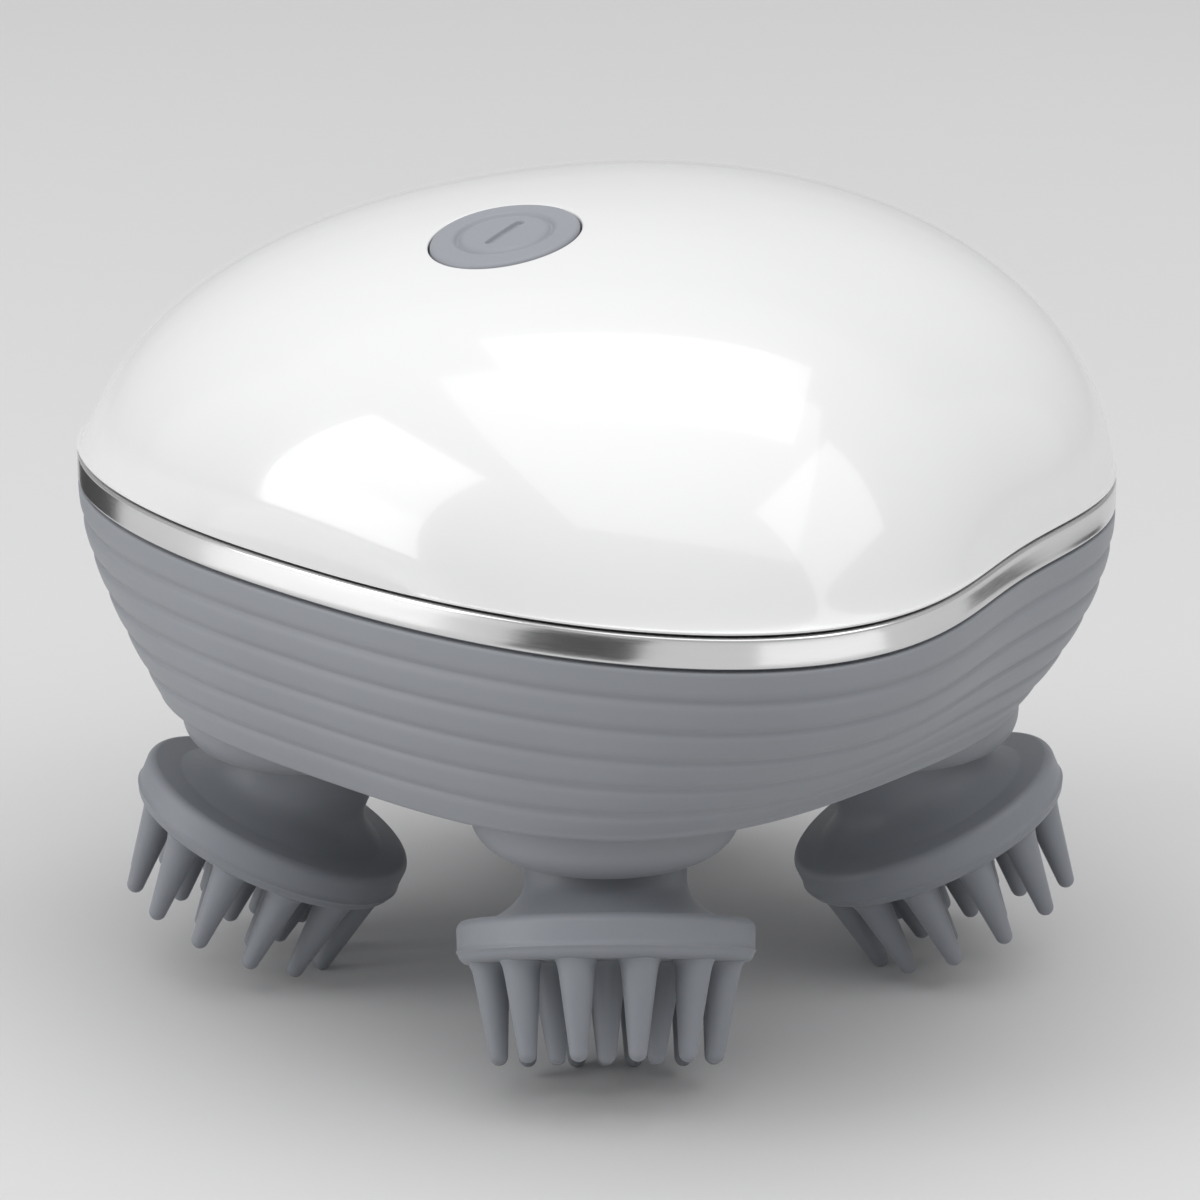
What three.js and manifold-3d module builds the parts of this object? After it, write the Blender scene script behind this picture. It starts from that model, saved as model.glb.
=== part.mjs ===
import * as THREE from 'three';
import { mergeVertices } from 'three/addons/utils/BufferGeometryUtils.js';
import Module from 'manifold-3d';

const wasm = await Module();
wasm.setup();

// Handheld scalp massager: a domed shell and a ribbed bowl hold a geared motor that turns four
// inclined massage heads. Millimetres, +Z up. The origin is on the floor, under the middle of the
// body's outline, and +X runs along the body's length, away from the button.

// Clearances between pieces
const GAP = 0.3;
const LIP_GAP = 0.6;
const NECK_GAP = 1.5;
const BUTTON_REST_GAP = 0.15;

// Body outline, measured from the drive axis
const NEAR_LENGTH = 47.5;
const FAR_LENGTH = 57;
const HALF_WIDTH = 66.6;
const NEAR_ROUNDNESS = 2.29;
const FAR_ROUNDNESS = 1.8;
const GRIP_DEPTH = 12.2;
const GRIP_ANGLE = 81.7 * Math.PI / 180;
const GRIP_SPREAD = 26 * Math.PI / 180;

// Domed upper shell
const DOME_HEIGHT = 31.6;
const DOME_ROUNDNESS = 2.15;
const DOME_WALL = 2.3;
const DOME_NEAR_LENGTH = 49.5;
const DOME_FAR_LENGTH = 58;
const DOME_HALF_WIDTH = 52;
const DOME_TOP_SHIFT = 6;
const DOME_BLEND = 0.3;
const DOME_EDGE = 0.3;

// Trim band and the lip that centres the shell on the bowl
const BAND_HEIGHT = 3.4;
const BAND_THICKNESS = 2.3;
const LIP_THICKNESS = 1.2;
const LIP_RISE = 0.8;
const RIM_DEPTH = 5;
const GASKET_HEIGHT = 0.9;

// Ribbed bowl
const BOWL_HEIGHT = 22;
const BOWL_CURVE = 2;
const BOWL_WALL = 2.4;
const BASE_NEAR_LENGTH = 42.8;
const BASE_FAR_LENGTH = 44;
const BASE_HALF_WIDTH = 43.4;
const BASE_NEAR_ROUNDNESS = 3.2;
const BASE_FAR_ROUNDNESS = 2.5;
const RIBS = 6;
const RIB_RELIEF = 0.55;

// Massage heads
const HEADS = 4;
const HEAD_CIRCLE = 32.5;
const HEAD_TILT = 24.5 * Math.PI / 180;
const HEAD_OFFSET = 5.7;
const DISC_RADIUS = 16;
const DISC_HEIGHT = 4.7;
const DISC_EDGE = 0.9;
const FLARE_LENGTH = 4.2;
const FLARE_INSET = 3.4;
const FLARE_CURVE = 2.6;
const NECK_RADIUS = 8.6;
const NECK_CAP_RADIUS = 8.9;
const NECK_CAP_DEPTH = 3.6;
const NECK_CAP_TAPER = 1.5;
const PRONG_LENGTH = 10.7;
const OUTER_PRONG_RADIUS = 12.8;
const INNER_PRONG_RADIUS = 7;
const PRONG_BASE_RADIUS = 2;
const PRONG_TIP_RADIUS = 0.95;
const PRONG_LEAN = 0.9;
const PRONG_RINGS = [
  { count: 12, radius: OUTER_PRONG_RADIUS, turn: Math.PI / 12, lean: PRONG_LEAN },
  { count: 6, radius: INNER_PRONG_RADIUS, turn: 0, lean: PRONG_LEAN },
  { count: 1, radius: 0, turn: 0, lean: 0 },
];

// Collars that the heads hang from
const COLLAR_RADIUS = 14.6;
const COLLAR_DROP = 6;
const COLLAR_ROOT = 6.4;
const COLLAR_EDGE_WIDTH = 3.4;
const COLLAR_EDGE_HEIGHT = 4;
const COLLAR_EDGE_TURNS = [10, 50].map((degrees) => degrees * Math.PI / 180);
const PIVOT_DROP = 0.5;
const SEAL_HEIGHT = 1;

// Gear train
const SUN_TEETH = 36;
const OUTPUT_TEETH = 16;
const TOOTH_TOP = 0.85;
const TOOTH_ROOT = 1.2;
const TOOTH_TOP_SHARE = 0.11;
const TOOTH_ROOT_SHARE = 0.34;
const GEAR_WIDTH = 5;
const GEAR_SEAT = 1.5;
const SHAFT_RADIUS = 3;
const SPINDLE_RADIUS = 4;
const STUB_LENGTH = 10;
const BUSH_WALL = 2.3;
const BUSH_FLANGE_WIDTH = 2;
const BUSH_FLANGE_HEIGHT = 0.9;
const BEARING_HEIGHT = 1.4;

// Gear deck, motor and battery
const DECK_LIFT = 1.9;
const DECK_THICKNESS = 2.5;
const DECK_INSET = 1.6;
const MOTOR_RADIUS = 12;
const MOTOR_CAP = 1.5;
const GEARBOX_LENGTH = 11;
const MOTOR_HEADROOM = 1;
const CELL_RADIUS = 9.1;
const CELL_LENGTH = 50;
const CELL_PLACE = 27;
const CELL_POLE_RADIUS = 3;
const CELL_POLE_HEIGHT = 1.2;
const CRADLE_WALL = 2.5;
const CRADLE_HEIGHT = 8;

// Button, switch and circuit board
const BUTTON_RADIUS = 8.1;
const BUTTON_PLACE = -14.8;
const BUTTON_DEPTH = 4.2;
const BUTTON_TRAVEL = 0.6;
const BUTTON_PROUD = 0.2;
const BUTTON_FLANGE_REACH = 1;
const BUTTON_FLANGE_HEIGHT = 1;
const GUIDE_WALL = 1.5;
const SWITCH_SIZE = 6;
const SWITCH_HEIGHT = 3;
const PLUNGER_RADIUS = 1.7;
const PLUNGER_HEIGHT = 1.2;
const BOARD_RADIUS = 16;
const BOARD_THICKNESS = 1.6;
const BOARD_SCREWS = 3;
const BOARD_HOLE_CIRCLE = 13;
const BOARD_BOSS_RADIUS = 2.4;

// Screws and charging contacts
const SCREW_RADIUS = 1.4;
const SCREW_HEAD_RADIUS = 2.6;
const SCREW_HEAD_HEIGHT = 1.6;
const POST_RADIUS = 3.6;
const CASE_SCREW_PLACE = 33;
const CASE_SCREW_GRIP = 12;
const DECK_SCREW_PLACE = [31, 8];
const DECK_SCREW_LENGTH = 8;
const SMALL_SCREW_RADIUS = 1;
const SMALL_SCREW_HEAD_RADIUS = 1.8;
const SMALL_SCREW_HEAD_HEIGHT = 1.1;
const BOARD_SCREW_LENGTH = 5;
const MOTOR_SCREW_PLACE = 7.8;
const MOTOR_SCREW_LENGTH = 8;
const CONTACT_RADIUS = 2;
const CONTACT_SPACING = 9;
const CONTACT_PROUD = 0.3;
const CONTACT_INSIDE = 2;

// Facets of curved pieces, and how far a cutting body reaches past the body it cuts
const OUTLINE_SIDES = 48;
const DOME_ROWS = 8;
const DOME_INNER_ROWS = 5;
const BOWL_INNER_ROWS = 3;
const LARGE_SIDES = 28;
const MIDDLE_SIDES = 20;
const SMALL_SIDES = 12;
const SCREW_SIDES = 8;
const PRONG_SIDES = 5;
const CUT = 1;

// Heights, built up from the floor that the lowest prong tips stand on
const tipRing = PRONG_RINGS[0].radius - PRONG_RINGS[0].lean;
const discZ = tipRing * Math.cos(PRONG_RINGS[0].turn) * Math.sin(HEAD_TILT)
  + PRONG_LENGTH * Math.cos(HEAD_TILT);
const pivotZ = discZ + HEAD_OFFSET / Math.tan(HEAD_TILT);
const collarZ = pivotZ - PIVOT_DROP;
const bowlZ = collarZ + COLLAR_DROP;
const floorZ = bowlZ + BOWL_WALL;
const neckTopZ = pivotZ + GAP;
const sealZ = neckTopZ + GAP;
const webZ = sealZ + SEAL_HEIGHT + GAP;
const bushTopZ = floorZ + GAP + BUSH_FLANGE_HEIGHT;
const gearZ = bushTopZ + GEAR_SEAT;
const deckZ = gearZ + GEAR_WIDTH + DECK_LIFT;
const deckTopZ = deckZ + DECK_THICKNESS;
const gearboxZ = deckTopZ + GAP;
const motorZ = gearboxZ + GEARBOX_LENGTH + GAP;
const shaftTopZ = gearboxZ + GEARBOX_LENGTH / 2;
const cradleZ = deckTopZ + GAP;
const cellZ = cradleZ + CRADLE_WALL + GAP + CELL_RADIUS;
const bandZ = bowlZ + BOWL_HEIGHT;
const rimZ = bandZ - GAP;
const domeZ = bandZ + BAND_HEIGHT + GAP;
const crownZ = domeZ + DOME_HEIGHT;
const lipZ = domeZ + LIP_RISE;
const gasketTopZ = lipZ + GAP + GASKET_HEIGHT;
const columnZ = deckTopZ + GAP;
const caseScrewZ = bowlZ + SCREW_HEAD_HEIGHT;
const caseScrewTopZ = columnZ + CASE_SCREW_GRIP;
const contactZ = bandZ - BOWL_HEIGHT / RIBS * 1.5;

// Sizes that follow from the pieces they mate with
const driveX = (NEAR_LENGTH - FAR_LENGTH) / 2;
const lipInset = BAND_THICKNESS + LIP_GAP;
const rimInset = lipInset + LIP_THICKNESS;
const gearModule = 2 * HEAD_CIRCLE / (SUN_TEETH + OUTPUT_TEETH);
const pivotLength = HEAD_OFFSET / Math.sin(HEAD_TILT);
const neckLength = pivotLength - NECK_RADIUS * Math.tan(HEAD_TILT);
const sealRadius = NECK_RADIUS / Math.cos(HEAD_TILT) + NECK_GAP;
const bushRadius = SPINDLE_RADIUS + GAP + BUSH_WALL;
const bushFlangeRadius = bushRadius + BUSH_FLANGE_WIDTH;
const guideRadius = BUTTON_RADIUS + GAP;

const headAngles = Array.from({ length: HEADS }, (_, i) => Math.PI / HEADS + 2 * Math.PI * i / HEADS);
const headPlaces = headAngles.map((a) => [HEAD_CIRCLE * Math.cos(a), HEAD_CIRCLE * Math.sin(a)]);
const casePlaces = [1, -1].map((side) => [0, side * CASE_SCREW_PLACE]);
const deckPlaces = [[1, 1], [-1, 1], [-1, -1], [1, -1]]
  .map(([x, y]) => [x * DECK_SCREW_PLACE[0], y * DECK_SCREW_PLACE[1]]);
const motorPlaces = [1, -1].map((side) => [0, side * MOTOR_SCREW_PLACE]);
const boardPlaces = Array.from({ length: BOARD_SCREWS }, (_, i) => {
  const angle = Math.PI + 2 * Math.PI * i / BOARD_SCREWS;
  return [BUTTON_PLACE + BOARD_HOLE_CIRCLE * Math.cos(angle), BOARD_HOLE_CIRCLE * Math.sin(angle)];
});

// Closed body from stacked rings of points; an end ring of one point is a tip
function loft(rings) {
  const points = [];
  const faces = [];
  const starts = rings.map((row) => {
    const start = points.length / 3;
    row.forEach((p) => points.push(p.x, p.y, p.z));
    return start;
  });
  for (let j = 0; j + 1 < rings.length; j++) {
    const low = rings[j].length === 1;
    const high = rings[j + 1].length === 1;
    const n = Math.max(rings[j].length, rings[j + 1].length);
    for (let i = 0; i < n; i++) {
      const k = (i + 1) % n;
      const a = starts[j] + (low ? 0 : i);
      const b = starts[j] + (low ? 0 : k);
      const c = starts[j + 1] + (high ? 0 : k);
      const d = starts[j + 1] + (high ? 0 : i);
      if (!low) faces.push(a, b, c);
      if (!high) faces.push(a, c, d);
    }
  }
  const cap = (row, start, upward) => {
    if (row.length === 1) return;
    const centre = points.length / 3;
    const mean = row.reduce((sum, p) => sum.add(p), new THREE.Vector3()).divideScalar(row.length);
    points.push(mean.x, mean.y, mean.z);
    for (let i = 0; i < row.length; i++) {
      const k = (i + 1) % row.length;
      if (upward) faces.push(centre, start + i, start + k);
      else faces.push(centre, start + k, start + i);
    }
  };
  cap(rings[0], starts[0], false);
  cap(rings[rings.length - 1], starts[rings.length - 1], true);
  const geometry = new THREE.BufferGeometry();
  geometry.setAttribute('position', new THREE.Float32BufferAttribute(points, 3));
  geometry.setIndex(faces);
  return geometry;
}

function solid(geometry) {
  const plain = geometry.clone();
  plain.deleteAttribute('normal');
  plain.deleteAttribute('uv');
  const merged = mergeVertices(plain, 1e-4);
  const mesh = new wasm.Mesh({
    numProp: 3,
    vertProperties: new Float32Array(merged.attributes.position.array),
    triVerts: new Uint32Array(merged.index.array),
  });
  return new wasm.Manifold(mesh);
}

function geometryOf(manifold) {
  const mesh = manifold.getMesh();
  const geometry = new THREE.BufferGeometry();
  geometry.setAttribute('position', new THREE.BufferAttribute(new Float32Array(mesh.vertProperties), 3));
  geometry.setIndex(new THREE.BufferAttribute(new Uint32Array(mesh.triVerts), 1));
  return geometry;
}

// Round body about a vertical axis from [radius, height] pairs
function turned(profile, sides) {
  const points = profile.map(([r, z]) => new THREE.Vector2(r, z));
  return new THREE.LatheGeometry(points, sides).rotateX(Math.PI / 2);
}

function rod(radius, low, high, sides) {
  return turned([[0, low], [radius, low], [radius, high], [0, high]], sides);
}

function at(geometry, x, y, z = 0) {
  return geometry.clone().translate(x, y, z);
}

// Solid upright rods of one size at several places
function rods(places, radius, low, high, sides) {
  return places.map(([x, y]) => solid(at(rod(radius, low, high, sides), x, y)));
}

function joined(body, others) {
  return others.reduce((sum, other) => sum.add(other), body);
}

function without(body, others) {
  return others.reduce((rest, other) => rest.subtract(other), body);
}

// Distance from the drive axis to a rounded outline with [length, roundness] on each side of the axis
function oval(angle, near, far, halfWidth) {
  const c = Math.cos(angle);
  const s = Math.sin(angle);
  const [length, power] = c < 0 ? near : far;
  return (Math.abs(c / length) ** power + Math.abs(s / halfWidth) ** power) ** (-1 / power);
}

// Distance from the drive axis to the body's outline at an angle
function outline(angle) {
  const full = oval(angle, [NEAR_LENGTH, NEAR_ROUNDNESS], [FAR_LENGTH, FAR_ROUNDNESS], HALF_WIDTH);
  const turn = Math.abs(Math.atan2(Math.sin(angle), Math.cos(angle)));
  return full - GRIP_DEPTH * Math.exp(-(((turn - GRIP_ANGLE) / GRIP_SPREAD) ** 2));
}

function ringOf(z, radiusAt, shift = 0) {
  return Array.from({ length: OUTLINE_SIDES }, (_, i) => {
    const angle = 2 * Math.PI * i / OUTLINE_SIDES;
    const r = radiusAt(angle);
    return new THREE.Vector3(shift + r * Math.cos(angle), r * Math.sin(angle), z);
  });
}

// Level ring that follows the body's outline at a distance inside it
function insetRing(z, inset) {
  return ringOf(z, (angle) => outline(angle) - inset);
}

// Shares of the dome's height and of its outline at a rise angle, and how far the dome's own round
// shape has taken over from the outline there
function domeShape(rise) {
  const lift = Math.sin(rise) ** (2 / DOME_ROUNDNESS);
  const scale = Math.cos(rise) ** (2 / DOME_ROUNDNESS);
  return { lift, scale, blend: (1 - scale) ** DOME_BLEND, shift: DOME_TOP_SHIFT * (1 - scale) };
}

// Dome surface drawn in by a wall, upright up to one height and then rising to the crown
function dome(wall, low, upright, rows) {
  const topRadius = (angle) => oval(angle, [DOME_NEAR_LENGTH, 2], [DOME_FAR_LENGTH, 2], DOME_HALF_WIDTH);
  const rings = [insetRing(low, wall), insetRing(upright, wall)];
  for (let j = 1; j < rows; j++) {
    const rise = Math.PI / 2 * (j / rows) ** 1.1;
    const { lift, scale, blend, shift } = domeShape(rise);
    const radiusAt = (angle) => (outline(angle) * (1 - blend) + topRadius(angle) * blend - wall) * scale;
    rings.push(ringOf(domeZ + (DOME_HEIGHT - wall) * lift, radiusAt, shift));
  }
  rings.push([new THREE.Vector3(DOME_TOP_SHIFT, 0, crownZ - wall)]);
  return loft(rings);
}

// Height of the dome's outside above a point of the body's plane of symmetry, on the button's side
function domeHeightAt(x) {
  let low = 0;
  let high = Math.PI / 2;
  for (let step = 0; step < 40; step++) {
    const rise = (low + high) / 2;
    const { scale, blend, shift } = domeShape(rise);
    const reach = shift - (NEAR_LENGTH * (1 - blend) + DOME_NEAR_LENGTH * blend) * scale;
    if (reach < x) low = rise;
    else high = rise;
  }
  return domeZ + DOME_HEIGHT * domeShape(low).lift;
}

const buttonTopZ = domeHeightAt(BUTTON_PLACE);
const guideZ = buttonTopZ - BUTTON_DEPTH;
const buttonLowZ = guideZ - GAP - BUTTON_FLANGE_HEIGHT;
const plungerTopZ = buttonLowZ - BUTTON_TRAVEL - BUTTON_REST_GAP;
const switchZ = plungerTopZ - PLUNGER_HEIGHT - SWITCH_HEIGHT;
const boardZ = switchZ - GAP - BOARD_THICKNESS;
const boardScrewTopZ = boardZ - GAP + BOARD_SCREW_LENGTH;

function upperShell() {
  const button = [[BUTTON_PLACE, 0]];
  const cavity = without(solid(dome(DOME_WALL, domeZ - CUT, gasketTopZ + GAP, DOME_INNER_ROWS)), [
    ...rods(button, guideRadius + GUIDE_WALL, guideZ, crownZ, LARGE_SIDES),
    ...rods(casePlaces, POST_RADIUS, columnZ, crownZ, SMALL_SIDES),
    ...rods(boardPlaces, BOARD_BOSS_RADIUS, boardZ + BOARD_THICKNESS + GAP, crownZ, SMALL_SIDES),
  ]);
  return geometryOf(without(solid(dome(0, domeZ, domeZ + DOME_EDGE, DOME_ROWS)), [
    cavity,
    ...rods(button, guideRadius, guideZ - CUT, crownZ + CUT, LARGE_SIDES),
    ...rods(button, guideRadius + BUTTON_FLANGE_REACH, plungerTopZ, guideZ, LARGE_SIDES),
    ...rods(casePlaces, SCREW_RADIUS + GAP, columnZ - CUT, caseScrewTopZ + GAP, SMALL_SIDES),
    ...rods(boardPlaces, SMALL_SCREW_RADIUS + GAP, boardZ, boardScrewTopZ + GAP, SMALL_SIDES),
  ]));
}

function outlineTube(outer, inner, low, high) {
  const body = solid(loft([insetRing(low, outer), insetRing(high, outer)]));
  const hole = solid(loft([insetRing(low - CUT, inner), insetRing(high + CUT, inner)]));
  return geometryOf(body.subtract(hole));
}

function trimBand() {
  return outlineTube(0, BAND_THICKNESS, bandZ, bandZ + BAND_HEIGHT);
}

function caseGasket() {
  return outlineTube(lipInset, rimInset, lipZ + GAP, gasketTopZ);
}

// Distance from the drive axis to the bowl's outside, which goes over from the body's outline at the
// band to an outline of its own at the bottom
function bowlReach(angle, z) {
  const share = ((bandZ - z) / BOWL_HEIGHT) ** BOWL_CURVE;
  const near = [BASE_NEAR_LENGTH, BASE_NEAR_ROUNDNESS];
  const base = oval(angle, near, [BASE_FAR_LENGTH, BASE_FAR_ROUNDNESS], BASE_HALF_WIDTH);
  return outline(angle) * (1 - share) + base * share;
}

// Level ring at a distance inside the bowl's outside
function bowlRing(z, reachZ, inset) {
  return ringOf(z, (angle) => bowlReach(angle, reachZ) - inset);
}

// Outer surface of the bowl: each rib bulges between two fine notches
function bowlOutside() {
  const step = BOWL_HEIGHT / RIBS;
  const rings = [bowlRing(bowlZ, bowlZ, RIB_RELIEF)];
  for (let rib = 0; rib < RIBS; rib++) {
    const middle = bowlZ + step * (rib + 0.5);
    const high = bowlZ + step * (rib + 1);
    rings.push(bowlRing(middle, middle, 0));
    if (rib < RIBS - 1) rings.push(bowlRing(high, high, RIB_RELIEF));
  }
  rings.push(bowlRing(rimZ, rimZ, 0));
  return loft(rings);
}

function bowlInside() {
  const rise = rimZ - RIM_DEPTH - floorZ;
  const rings = [];
  for (let j = 0; j <= BOWL_INNER_ROWS; j++) {
    const z = floorZ + rise * j / BOWL_INNER_ROWS;
    rings.push(bowlRing(z, z, BOWL_WALL));
  }
  rings.push(insetRing(rimZ - RIM_DEPTH + CUT, rimInset));
  rings.push(insetRing(lipZ + CUT, rimInset));
  return loft(rings);
}

// Round collar with a rounded lower edge
function collar() {
  const round = COLLAR_EDGE_TURNS.map((turn) => {
    const r = COLLAR_RADIUS - COLLAR_EDGE_WIDTH * (1 - Math.sin(turn));
    return [r, collarZ + COLLAR_EDGE_HEIGHT * (1 - Math.cos(turn))];
  });
  const topZ = bowlZ + COLLAR_ROOT;
  return turned([
    [0, collarZ], ...round, [COLLAR_RADIUS, collarZ + COLLAR_EDGE_HEIGHT], [COLLAR_RADIUS, topZ], [0, topZ],
  ], MIDDLE_SIDES);
}

function lowerHousing() {
  const low = floorZ - CUT;
  const post = deckZ - GAP;
  const cavity = without(solid(bowlInside()), [
    ...rods([[0, 0]], SHAFT_RADIUS + GAP + BUSH_WALL, low, floorZ + BEARING_HEIGHT, MIDDLE_SIDES),
    ...rods([...casePlaces, ...deckPlaces], POST_RADIUS, low, post, SMALL_SIDES),
  ]);
  const body = joined(solid(bowlOutside()), [
    solid(loft([insetRing(rimZ - CUT, lipInset), insetRing(lipZ, lipInset)])),
    ...headPlaces.map(([x, y]) => solid(at(collar(), x, y))),
  ]);
  const contactHole = rod(CONTACT_RADIUS + GAP, FAR_LENGTH - 2 * COLLAR_RADIUS, FAR_LENGTH, SMALL_SIDES)
    .rotateY(Math.PI / 2);
  const screwLow = deckTopZ - DECK_SCREW_LENGTH;
  return geometryOf(without(body, [
    cavity,
    ...rods([[0, 0]], SHAFT_RADIUS + GAP, low, floorZ + BEARING_HEIGHT + CUT, SMALL_SIDES),
    ...rods(casePlaces, SCREW_RADIUS + GAP, bowlZ - CUT, post + CUT, SMALL_SIDES),
    ...rods(casePlaces, SCREW_HEAD_RADIUS + GAP, bowlZ - CUT, caseScrewZ + GAP, SMALL_SIDES),
    ...rods(deckPlaces, SCREW_RADIUS + GAP, screwLow, post + CUT, SMALL_SIDES),
    ...rods(headPlaces, sealRadius, collarZ - CUT, webZ, MIDDLE_SIDES),
    ...rods(headPlaces, bushRadius + GAP, webZ - CUT, floorZ + CUT, SMALL_SIDES),
    ...[1, -1].map((side) => solid(at(contactHole, 0, side * CONTACT_SPACING / 2, contactZ))),
  ]));
}

function chargingContact() {
  const outside = bowlReach(0, contactZ) + CONTACT_PROUD;
  const inside = outside - BOWL_WALL - CONTACT_INSIDE;
  return rod(CONTACT_RADIUS, inside, outside, SMALL_SIDES).rotateY(Math.PI / 2);
}

// Toothed wheel with straight flanks; its first tooth points at the phase angle
function gear(teeth, bore, phase) {
  const pitch = gearModule * teeth / 2;
  const top = pitch + gearModule * TOOTH_TOP;
  const root = pitch - gearModule * TOOTH_ROOT;
  const corners = [
    [root, -TOOTH_ROOT_SHARE], [top, -TOOTH_TOP_SHARE], [top, TOOTH_TOP_SHARE], [root, TOOTH_ROOT_SHARE],
  ];
  const points = [];
  for (let i = 0; i < teeth; i++) {
    corners.forEach(([r, share]) => {
      const angle = phase + (i + share) * 2 * Math.PI / teeth;
      points.push(new THREE.Vector2(r * Math.cos(angle), r * Math.sin(angle)));
    });
  }
  const shape = new THREE.Shape(points);
  const hole = new THREE.Path();
  hole.absarc(0, 0, bore, 0, 2 * Math.PI, true);
  shape.holes.push(hole);
  const options = { depth: GEAR_WIDTH, bevelEnabled: false, curveSegments: SMALL_SIDES };
  return new THREE.ExtrudeGeometry(shape, options).translate(0, 0, gearZ);
}

function sunGear() {
  return gear(SUN_TEETH, SHAFT_RADIUS + GAP, 0);
}

// Output gear with the middle of a tooth space where the sun gear has the middle of a tooth
function outputGear(i) {
  const sunStep = 2 * Math.PI / SUN_TEETH;
  const sunPhase = (headAngles[i] / sunStep) % 1;
  const phase = headAngles[i] + Math.PI + (0.5 + sunPhase) * 2 * Math.PI / OUTPUT_TEETH;
  return gear(OUTPUT_TEETH, SHAFT_RADIUS + GAP, phase);
}

function driveShaft() {
  return rod(SHAFT_RADIUS, floorZ - CUT + GAP, shaftTopZ, SMALL_SIDES);
}

// Places a piece made along an upright axis through the disc's centre into head i's inclined frame
function incline(geometry, i) {
  const placed = geometry.clone().rotateY(-HEAD_TILT).translate(HEAD_OFFSET, 0, discZ);
  return at(placed.rotateZ(headAngles[i]), ...headPlaces[i]);
}

function spindle(i) {
  const shoulder = gearZ - GAP;
  const low = pivotZ - GAP;
  const top = deckTopZ - GAP;
  const upright = turned([
    [0, low], [SPINDLE_RADIUS, low], [SPINDLE_RADIUS, shoulder],
    [SHAFT_RADIUS, shoulder], [SHAFT_RADIUS, top], [0, top],
  ], SMALL_SIDES);
  const stub = rod(SHAFT_RADIUS, pivotLength - STUB_LENGTH, pivotLength + CUT, SMALL_SIDES);
  return geometryOf(solid(at(upright, ...headPlaces[i])).add(solid(incline(stub, i))));
}

// Tapered finger that leans toward the head's middle
function prong(radius, lean, angle) {
  const circle = (z, r, centre) => Array.from({ length: PRONG_SIDES }, (_, k) => {
    const turn = -2 * Math.PI * k / PRONG_SIDES;
    return new THREE.Vector3(centre + r * Math.cos(turn), r * Math.sin(turn), z);
  });
  return loft([
    circle(CUT, PRONG_BASE_RADIUS, radius),
    circle(PRONG_TIP_RADIUS - PRONG_LENGTH, PRONG_TIP_RADIUS, radius - lean),
    [new THREE.Vector3(radius - lean, 0, -PRONG_LENGTH)],
  ]).rotateZ(angle);
}

function massageHead(i) {
  const flare = [0.12, 0.4, 1].map((share) => {
    const reach = (DISC_RADIUS - FLARE_INSET - NECK_RADIUS) * (1 - share) ** FLARE_CURVE;
    return [NECK_RADIUS + reach, DISC_HEIGHT + FLARE_LENGTH * share];
  });
  const disc = turned([
    [0, 0], [DISC_RADIUS - DISC_EDGE, 0], [DISC_RADIUS, DISC_EDGE], [DISC_RADIUS, DISC_HEIGHT - DISC_EDGE],
    [DISC_RADIUS - DISC_EDGE, DISC_HEIGHT], ...flare, [NECK_RADIUS, neckLength], [0, neckLength],
  ], MIDDLE_SIDES);
  const capZ = collarZ - NECK_CAP_DEPTH;
  const cap = turned([
    [0, capZ], [NECK_CAP_RADIUS - NECK_CAP_TAPER, capZ], [NECK_CAP_RADIUS, collarZ - GAP],
    [NECK_CAP_RADIUS, neckTopZ], [0, neckTopZ],
  ], MIDDLE_SIDES);
  const prongs = PRONG_RINGS.flatMap(({ count, radius, turn, lean }) => Array.from(
    { length: count },
    (_, k) => solid(incline(prong(radius, lean, turn + 2 * Math.PI * k / count), i)),
  ));
  const bore = rod(SHAFT_RADIUS + GAP, pivotLength - STUB_LENGTH - GAP, pivotLength + CUT, SMALL_SIDES);
  const head = joined(solid(incline(disc, i)), [solid(at(cap, ...headPlaces[i])), ...prongs]);
  return geometryOf(without(head, [
    solid(incline(bore, i)),
    ...rods([headPlaces[i]], SPINDLE_RADIUS + GAP, pivotZ - GAP * 2, neckTopZ + CUT, SMALL_SIDES),
  ]));
}

function bush(i) {
  const inner = SPINDLE_RADIUS + GAP;
  return at(turned([
    [inner, webZ + GAP], [bushRadius, webZ + GAP], [bushRadius, floorZ + GAP],
    [bushFlangeRadius, floorZ + GAP], [bushFlangeRadius, bushTopZ], [inner, bushTopZ], [inner, webZ + GAP],
  ], SMALL_SIDES), ...headPlaces[i]);
}

function shaftSeal(i) {
  const inner = SPINDLE_RADIUS + GAP;
  const outer = sealRadius - GAP;
  const top = sealZ + SEAL_HEIGHT;
  const profile = [[inner, sealZ], [outer, sealZ], [outer, top], [inner, top], [inner, sealZ]];
  return at(turned(profile, MIDDLE_SIDES), ...headPlaces[i]);
}

function gearDeck() {
  const plate = [deckZ, deckTopZ].map((z) => bowlRing(z, deckZ, BOWL_WALL + DECK_INSET));
  const low = deckZ - CUT;
  const high = deckTopZ + CUT;
  return geometryOf(without(solid(loft(plate)), [
    ...rods([[0, 0], ...headPlaces], SHAFT_RADIUS + GAP, low, high, SMALL_SIDES),
    ...rods([...casePlaces, ...deckPlaces], SCREW_RADIUS + GAP, low, high, SMALL_SIDES),
    ...rods(motorPlaces, SMALL_SCREW_RADIUS + GAP, low, high, SMALL_SIDES),
  ]));
}

function gearbox() {
  const body = solid(rod(MOTOR_RADIUS, gearboxZ, gearboxZ + GEARBOX_LENGTH, LARGE_SIDES));
  const screwTopZ = deckZ - GAP + MOTOR_SCREW_LENGTH;
  return geometryOf(without(body, [
    ...rods([[0, 0]], SHAFT_RADIUS + GAP, gearboxZ - CUT, shaftTopZ + GAP, SMALL_SIDES),
    ...rods(motorPlaces, SMALL_SCREW_RADIUS + GAP, gearboxZ - CUT, screwTopZ, SMALL_SIDES),
  ]));
}

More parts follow.
